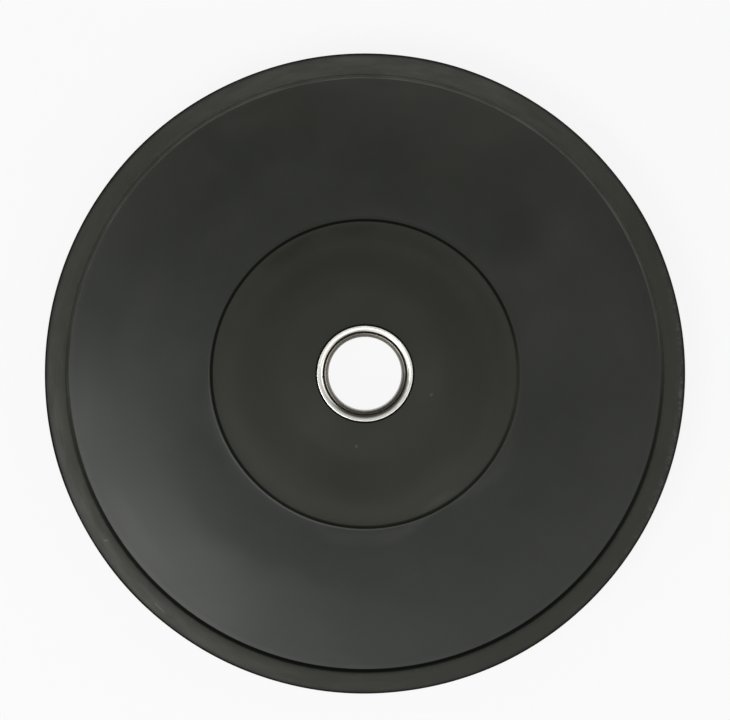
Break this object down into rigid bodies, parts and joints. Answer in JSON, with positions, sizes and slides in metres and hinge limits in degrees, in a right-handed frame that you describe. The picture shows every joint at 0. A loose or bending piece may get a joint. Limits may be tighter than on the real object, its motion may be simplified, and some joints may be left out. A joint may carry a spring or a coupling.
{
  "type": "bumper plate",
  "caption": "Round rubber weight plate with a steel-lined bore for a barbell sleeve, raised hub and rim, and sunk webs on both faces.",
  "frame": {"origin": "on the bore's axis, in the plane of the back hub and rim faces, on which the plate lies and with which it seats on a bar's collar", "axes": "+Z along the bore's axis, from the back face towards the front face; X and Y are across the plate, which is round, so neither is special"},
  "size_m": [0.45, 0.45, 0.046],
  "materials": {
    "moulded_rubber": "matt moulded, with a faint sheen on the webs",
    "bright_steel": "turned bright",
    "plain_steel": "drawn tube with flared, polished ends",
    "raw_steel": "as rolled, buried in the rubber"
  },
  "bodies": {
    "root": {"rubber_body": "moulded_rubber", "bore_sleeve": "plain_steel", "anchor_disc": "raw_steel", "front_collar": "bright_steel", "rear_collar": "bright_steel"}
  },
  "joints": []
}
